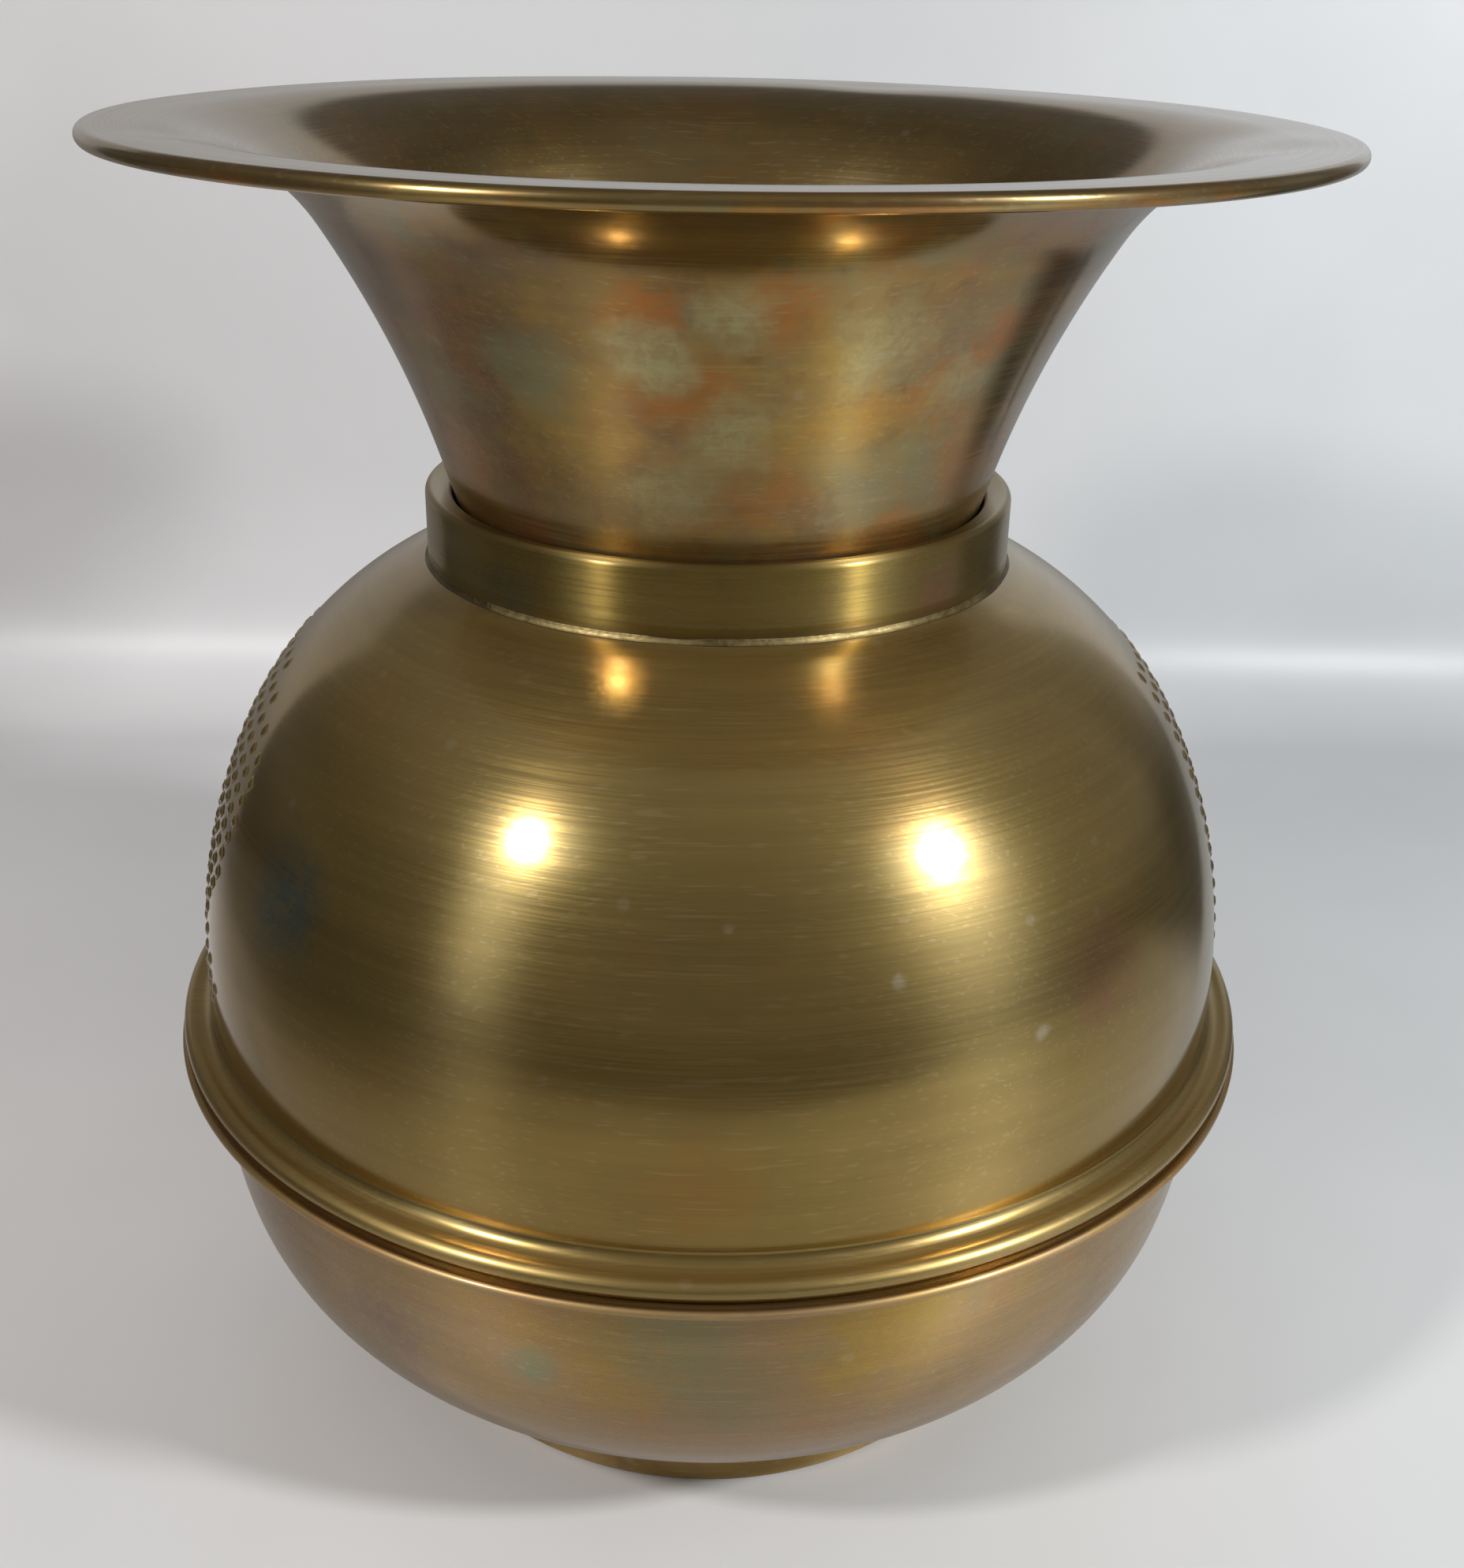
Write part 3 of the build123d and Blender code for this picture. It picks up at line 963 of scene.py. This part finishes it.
bowl_brass = aged_brass(
    "bowl_brass",
    bowl_loop,
    (0.37, 0.235, 0.085),
    [
        (PINK_BROWN, 28.0, 0.4, 0.62, (0.4, 0.0, 1.6), 0.5),
        (GOLD, 35.0, 0.48, 0.7, (0.9, 1.0, 0.3), 0.5),
        (ORANGE, 45.0, 0.5, 0.72, (0.1, 0.3, 2.0), 0.35),
        (GREY_GREEN, 60.0, 0.54, 0.72, (1.7, 0.4, 0.6), 0.4),
        (BROWN, 52.0, 0.54, 0.74, (0.6, 2.2, 0.1), 0.3),
    ],
    [
        (PINK_BROWN, 0, 44, 24, 0.8, 0.6),
        (GOLD, 17.5, 70, 15, 1.2, 0.9),
        (GOLD, -8, 64, 12, 1.2, 0.6),
        (GREY_GREEN, -3, 71.5, 12, 1.0, 0.75),
        (GREY_GREEN, 2, 57.5, 11, 1.1, 0.6),
        (VIOLET, -34.5, 57.5, 11, 1.0, 0.7),
        (GREY_GREEN, -17, 61.5, 5.2, 0.15, 1.0),
    ],
    smooth=0.2,
    rough=0.28,
    anisotropy=0.5,
)
foot_brass = aged_brass(
    "foot_brass",
    [],
    (0.3, 0.185, 0.05),
    [
        (PINK_BROWN, 40.0, 0.45, 0.7, (0.5, 0.1, 0.6), 0.3),
        (BROWN, 90.0, 0.5, 0.7, (0.3, 1.2, 0.1), 0.4),
    ],
    [],
    smooth=0.26,
    rough=0.32,
    anisotropy=0.8,
)

# %% Pieces and their brass
dress(mouth, mouth_brass, "mouth", "mouth_brass", "flared_mouth")
dress(upper, body_brass, "vessel", "body_brass", "upper_body")
dress(collar, collar_brass, "vessel", "body_brass", "neck_collar")
dress(lower, bowl_brass, "vessel", "bowl_brass", "lower_bowl")
dress(foot, foot_brass, "vessel", "bowl_brass", "foot_ring")
print("brass pieces dressed")

# %% [markdown]
# ## The plain inner materials
#
# The wire, the solder, the iron weight and its pitch are almost never seen, but each is a real
# material. The disc under the foot is brown and worn, because it is never polished.


# %% Dull metals and pitch
def dull(name, low, high, per_metre, metallic, roughness, bump=0.2):
    """A cloudy two-colour surface for the inner pieces."""
    material, tree = empty_material(name)
    cloud = use(tree, clouds, {"Per metre": per_metre, "Least": 0.35, "Most": 0.65})
    grain = noise(tree, here(tree), per_metre * 20, 4.0)[0]
    rough = soften(tree, grain, 0.3, 0.7, roughness - 0.08, roughness + 0.08)
    inputs = {"Height": grain, "Strength": bump, "Distance": BUMP_DEPTH}
    bumped = add(tree, "ShaderNodeBump", inputs)
    inputs = {
        "Base Color": blend(tree, cloud, low, high),
        "Metallic": metallic,
        "Roughness": rough,
        "Normal": bumped.outputs[0],
    }
    surface = add(tree, "ShaderNodeBsdfPrincipled", inputs)
    add(tree, "ShaderNodeOutputMaterial", {"Surface": surface.outputs[0]})
    return material


solder = dull("solder", (0.30, 0.27, 0.22), (0.44, 0.38, 0.28), 60.0, 1.0, 0.42)
base_brass = aged_brass(
    "base_brass",
    [],
    (0.36, 0.23, 0.09),
    [
        (BROWN, 40.0, 0.42, 0.66, (0.4, 0.4, 0.0), 0.7),
        (OLIVE, 70.0, 0.5, 0.7, (0.0, 0.9, 0.0), 0.5),
    ],
    [],
    smooth=0.28,
    rough=0.45,
    anisotropy=0.5,
)
tinned = dull("worn_solder", (0.11, 0.08, 0.032), (0.22, 0.165, 0.07), 60.0, 1.0, 0.46)
dress(collar_bead, tinned, "vessel", "soft_solder", "collar_solder")
dress(foot_bead, solder, "vessel", "soft_solder", "foot_solder")
inner = {
    "rim_wire": dull("steel_wire", (0.26, 0.24, 0.22), (0.42, 0.39, 0.36), 80.0, 1.0, 0.4),
    "seam_solder": solder,
    "base_weight": dull("iron", (0.09, 0.075, 0.06), (0.16, 0.11, 0.08), 50.0, 1.0, 0.6, 0.6),
    "base_filling": dull("pitch", (0.012, 0.01, 0.009), (0.03, 0.025, 0.02), 40.0, 0.0, 0.55, 0.6),
    "base_plate": base_brass,
}
for node, material in inner.items():
    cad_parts[node].data.materials.clear()
    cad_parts[node].data.materials.append(material)
print("dressed", len(inner), "CAD nodes")

# %% [markdown]
# ## The paper sweep
#
# The spittoon stands on a wide sheet of pale paper that curves up behind it into a backdrop. The bend
# shows as a soft pale streak, where the faint gloss of the paper catches the lamps. The back of the
# backdrop is left out of sight, and the paper fades into the pale room far off in front and at the
# sides, so that the spittoon can be looked at from all round.
#
# In the brass the paper has edges: past them it mirrors the dim room. The paper's colour is
# therefore dimmed there, but only for glossy rays, and the camera still sees pale paper there. The
# same trick adds two faint beams below the lamps, which the brushed brass shows as upright streaks.

# %% The sweep's mesh
PAPER_SIDE, FRONT, BEND_START, BEND_RADIUS, WALL_TOP = 3.0, -2.5, 0.322, 0.048, 2.4
BEND_PARTS = 12
profile = [(FRONT, 0.0), (BEND_START, 0.0)]
for i in range(1, BEND_PARTS + 1):
    bent = pi / 2 * i / BEND_PARTS
    profile.append((BEND_START + BEND_RADIUS * sin(bent), BEND_RADIUS * (1 - cos(bent))))
profile.append((BEND_START + BEND_RADIUS, WALL_TOP))
verts, faces = [], []
for y, z in profile:
    verts += [(-PAPER_SIDE, y, z), (PAPER_SIDE, y, z)]
for i in range(len(profile) - 1):
    faces.append((2 * i, 2 * i + 1, 2 * i + 3, 2 * i + 2))
paper_mesh = bpy.data.meshes.new("paper_sweep")
paper_mesh.from_pydata(verts, [], faces)
paper_mesh.shade_smooth()
paper = bpy.data.objects.new("paper_sweep", paper_mesh)
bpy.context.scene.collection.objects.link(paper)
print("sweep", len(paper_mesh.polygons), "faces")

# %% The paper's colour
# painted light and shade: the paper is warmer and lighter on the left and cooler and darker on the
# right, to even out how the two lamps light it
PAPER_LEFT, PAPER_RIGHT = (0.80, 0.785, 0.78), (0.735, 0.76, 0.775)
paper_look, tree = empty_material("paper")
place = here(tree)
x, y, z = apart(tree, place)
paper_colour = blend(tree, soften(tree, x, -0.4, 0.4), PAPER_LEFT, PAPER_RIGHT)
grain = noise(tree, place, 9.0, 3.0)[0]
paper_colour = dim(tree, paper_colour, soften(tree, grain, 0.3, 0.7, 0.97, 1.02))
# painted shade: the backdrop is a little darker low on the left
painted_shade_left = times(tree, soften(tree, x, -0.05, -0.4), soften(tree, z, 0.6, 0.1))
painted_shade_left = times(tree, painted_shade_left, soften(tree, z, 0.0, 0.06, 0.0, 0.08))
paper_colour = dim(tree, paper_colour, minus(tree, 1.0, painted_shade_left))
# painted light and shade: the paper gets paler towards the back, then darker up the bend, but not on
# the right
standing = soften(tree, z, 0.0, 0.12)
painted_light_by_depth = soften(tree, y, -0.2, 0.05, 0.9, 1.12)
painted_light_by_depth = times(tree, painted_light_by_depth, minus(tree, 1.0, times(tree, standing, 0.13)))
painted_light_right = times(tree, standing, soften(tree, x, 0.0, 0.35, 0.0, 0.16))
paper_colour = dim(tree, paper_colour, plus(tree, painted_light_by_depth, painted_light_right))
print("paper's colour:", len(tree.nodes), "nodes")


# %% The paper that the brass mirrors
def way_out(tree, x, y):
    """The angle round the axis in radians: 0 towards the viewer, and more to the right."""
    return maths(tree, "ARCTAN2", x, times(tree, y, -1.0))


# the level from left to right, as x in metres and a share of the paper's colour
ACROSS = [(-0.6, 0.06), (-0.42, 0.08), (-0.34, 0.2), (-0.27, 0.33), (-0.2, 0.45), (-0.1, 0.58)]
ACROSS += [(0.0, 0.58), (0.14, 0.74), (0.25, 0.72), (0.34, 0.62), (0.5, 0.52), (0.66, 0.5)]
ACROSS += [(0.9, 0.3)]
# a beam on the paper: its angle in degrees, its strength and its width in radians
PAPER_BEAMS = ((-41.2, 0.16, 0.11), (51.0, 0.3, 0.17))
LEFT_STOP, SPAN = 0.6, 1.5
DIM = (0.07, 0.07, 0.07)
share = maths(tree, "DIVIDE", plus(tree, x, LEFT_STOP), SPAN)
# painted light in what the brass mirrors: the paper is lifted behind on the left, against the shadow
# there, and a little round the foot
painted_light_lift = times(tree, soften(tree, y, -0.03, 0.2, 0.0, 1.6), soften(tree, x, 0.0, -0.15))
mirrored = times(tree, grey_ramp(tree, share, ACROSS), plus(tree, painted_light_lift, 1.0))
distance = vectors(tree, "LENGTH", {0: place})
mirrored = times(tree, mirrored, soften(tree, distance, 0.13, 0.24, 1.1, 1.0))
# in front the paper ends, and past a slanted line behind on the right it is dim
front_in = soften(tree, y, -0.62, -0.48)
mirrored = blend(tree, front_in, soften(tree, x, -0.5, -0.1, 0.07, 0.19), mirrored)
past_side = minus(tree, x, plus(tree, times(tree, y, 0.5), 0.2))
right_out = times(tree, soften(tree, past_side, -0.002, 0.02), soften(tree, y, 0.08, 0.2))
mirrored = blend(tree, right_out, mirrored, DIM)
angle_out = way_out(tree, x, y)
for at, strength, width in PAPER_BEAMS:
    beam = bell(tree, angle_out, radians(at), width)
    beam = times(tree, beam, soften(tree, distance, 0.2, 0.55, 0.3 * strength, strength))
    mirrored = blend(tree, 1.0, mirrored, beam, "ADD")
ray = add(tree, "ShaderNodeLightPath").outputs
mirrored = dim(tree, paper_colour, mirrored)
paper_colour = blend(tree, ray["Is Glossy Ray"], paper_colour, mirrored)
print("with what the brass mirrors:", len(tree.nodes), "nodes")

# %% Where the paper is out of sight
ON_WALL = 0.0005
inputs = {"Base Color": paper_colour, "Roughness": 0.4, "Specular IOR Level": 0.8}
matt = add(tree, "ShaderNodeBsdfPrincipled", inputs)
gone = add(tree, "ShaderNodeBsdfTransparent")
# the backdrop is for the camera alone, and only from its front
from_behind = add(tree, "ShaderNodeNewGeometry").outputs["Backfacing"]
unseen = maths(tree, "MAXIMUM", minus(tree, 1.0, ray["Is Camera Ray"]), from_behind)
unseen = times(tree, unseen, maths(tree, "GREATER_THAN", z, ON_WALL))
# the camera sees the paper fade far off in front and at the sides
far_aside = soften(tree, maths(tree, "ABSOLUTE", x), 0.7, 1.3)
far_off = maths(tree, "MAXIMUM", soften(tree, y, 0.2, -0.1), far_aside)
far_off = times(tree, far_off, soften(tree, distance, 0.7, 1.6), ray["Is Camera Ray"])
unseen = maths(tree, "MAXIMUM", unseen, far_off)
shown = add(tree, "ShaderNodeMixShader", {0: unseen, 1: matt.outputs[0], 2: gone.outputs[0]})
add(tree, "ShaderNodeOutputMaterial", {"Surface": shown.outputs[0]})
paper_mesh.materials.append(paper_look)
print("paper:", len(tree.nodes), "nodes")

# %% [markdown]
# ## The room
#
# A mirror-like object is lit by its surroundings. The world shader answers three kinds of ray. The
# camera sees a pale wall. Soft light comes evenly from everywhere. Glossy rays see the room that the
# brass reflects: dim in front, darker on the left than on the right, the backdrop behind, and a glow
# round each of the two lamps.

# %% Lamp places
LAMPS = {"lamp_left": (-46.4, 36.1), "lamp_right": (54.8, 30.6)}
BALL_CENTRE = Vector((0, 0, 0.13))


def toward(azimuth, elevation):
    """A direction: azimuth 0 is towards the viewer and 90 to the right."""
    a, e = radians(azimuth), radians(elevation)
    return Vector((sin(a) * cos(e), -cos(a) * cos(e), sin(e)))


print({name: [round(v, 2) for v in toward(*at)] for name, at in LAMPS.items()})

# %% The room's bands
def turn_share(degrees_round):
    """The same angle as a share of the whole turn, from straight behind over the left."""
    return (degrees_round + 180) / 360


# the room's level, as an angle round the axis in degrees and a grey
ROOM = [(-180, 0.13), (-134, 0.12), (-125, 0.09), (-75, 0.09), (-52, 0.13), (-25, 0.155)]
ROOM += [(25, 0.165), (60, 0.22), (85, 0.25), (118, 0.24), (126, 0.14), (133, 0.16), (140, 0.3)]
ROOM += [(180, 0.14)]
CEILING_FRONT, CEILING_BACK = (0.255, 0.25, 0.245), (0.14, 0.14, 0.14)
world = bpy.data.worlds.new("room")
bpy.context.scene.world = world
world.use_nodes = True
tree = world.node_tree
tree.nodes.clear()
way = add(tree, "ShaderNodeTexCoord").outputs["Generated"]
way = vectors(tree, "NORMALIZE", {0: way})
x, y, z = apart(tree, way)
azimuth = plus(tree, maths(tree, "DIVIDE", way_out(tree, x, y), 2 * pi), 0.5)
room = dim(tree, grey_ramp(tree, azimuth, ROOM), soften(tree, z, -0.16, 0.1, 0.35, 1.0))
ceiling = blend(tree, soften(tree, y, -0.25, 0.45), CEILING_FRONT, CEILING_BACK)
room = blend(tree, soften(tree, z, 0.2, 0.85), room, ceiling)
print("room's bands:", len(tree.nodes), "nodes")

# %% The backdrop in the room
WALL_LEFT, WALL_RIGHT = (0.31, 0.30, 0.29), (0.51, 0.53, 0.55)
LEFT_EDGE, RIGHT_EDGE, EDGE_SOFT = -134, 142, 2
on_left = soften(tree, azimuth, turn_share(LEFT_EDGE), turn_share(LEFT_EDGE + EDGE_SOFT), 1.0, 0.0)
on_right = soften(tree, azimuth, turn_share(RIGHT_EDGE), turn_share(RIGHT_EDGE + EDGE_SOFT))
wall_top = soften(tree, x, -0.4, 0.5, 0.4, 0.5)
below_top = soften(tree, minus(tree, wall_top, z), -0.03, 0.03)
wall_colour = blend(tree, soften(tree, x, -0.5, 0.5), WALL_LEFT, WALL_RIGHT)
wall_colour = dim(tree, wall_colour, soften(tree, z, -0.2, 0.1, 0.6, 1.3))
on_wall = times(tree, maths(tree, "MAXIMUM", on_left, on_right), below_top)
room = blend(tree, on_wall, room, wall_colour)
print("with the backdrop:", len(tree.nodes), "nodes")

# %% The glow round each lamp
# its azimuth and elevation seen from the ball's front, the strengths of the tight glow, the wide
# glow and the beam below it, and the beam's half width in degrees
GLOWS = [(-50.3, 37.8, 3.4, 0.2, 1.5, 8), (58.7, 31.5, 6.0, 0.4, 1.7, 13)]
TIGHT, WIDE = -0.012, -0.09
GLOW_COLOUR = (0.94, 1.05, 1.32)
for lamp_azimuth, lamp_elevation, strength, spread, trail, width in GLOWS:
    lamp_way = toward(lamp_azimuth, lamp_elevation)
    off = minus(tree, 1.0, vectors(tree, "DOT_PRODUCT", {0: way, 1: lamp_way}))
    tight = times(tree, maths(tree, "EXPONENT", maths(tree, "DIVIDE", off, TIGHT)), strength)
    wide = times(tree, maths(tree, "EXPONENT", maths(tree, "DIVIDE", off, WIDE)), spread)
    beam = bell(tree, azimuth, turn_share(lamp_azimuth), width / 360)
    below = soften(tree, z, -0.1, lamp_way.z - 0.1, 0.3, 1.0)
    below = times(tree, below, soften(tree, z, lamp_way.z, lamp_way.z - 0.2))
    beam = times(tree, beam, below, trail)
    light = dim(tree, GLOW_COLOUR, plus(tree, plus(tree, tight, wide), beam))
    room = blend(tree, 1.0, room, light, "ADD")
print("with the glows:", len(tree.nodes), "nodes")

# %% One answer for each kind of ray
SOFT_LIGHT = (0.34, 0.34, 0.345)
PALE_LEFT, PALE_RIGHT = (0.57, 0.57, 0.58), (0.72, 0.745, 0.755)
ray = add(tree, "ShaderNodeLightPath").outputs
pale_wall = blend(tree, soften(tree, x, -0.6, 0.6), PALE_LEFT, PALE_RIGHT)
seen = blend(tree, ray["Is Glossy Ray"], SOFT_LIGHT, room)
seen = blend(tree, ray["Is Camera Ray"], seen, pale_wall)
light = add(tree, "ShaderNodeBackground", {"Color": seen, "Strength": 1.0})
add(tree, "ShaderNodeOutputWorld", {"Surface": light.outputs[0]})
print("room:", len(tree.nodes), "nodes")

# %% [markdown]
# ## The lamps
#
# Two small round lamps stand in front, high on the left and on the right. Their images are the two
# bright points on the ball. They are small enough to look like bulbs in the reflection. The left one
# is a little warmer, which tints the shadows that the right one casts.

# %% Two round lamps
LAMP_DISTANCE, LAMP_SIZE = 0.8, 0.08
POWERS = {"lamp_left": (2.6, (1.0, 0.96, 0.93)), "lamp_right": (3.8, (0.97, 0.99, 1.0))}
for name, at in LAMPS.items():
    lamp_data = bpy.data.lights.new(name, "AREA")
    lamp_data.shape = "DISK"
    lamp_data.size = LAMP_SIZE
    lamp_data.energy, lamp_data.color = POWERS[name]
    lamp = bpy.data.objects.new(name, lamp_data)
    lamp.location = BALL_CENTRE + toward(*at) * LAMP_DISTANCE
    lamp.rotation_euler = (BALL_CENTRE - lamp.location).to_track_quat("-Z", "Y").to_euler()
    bpy.context.scene.collection.objects.link(lamp)
print("lamps:", sorted(LAMPS))

# %% Finish
bpy.context.scene.view_settings.view_transform = "Standard"
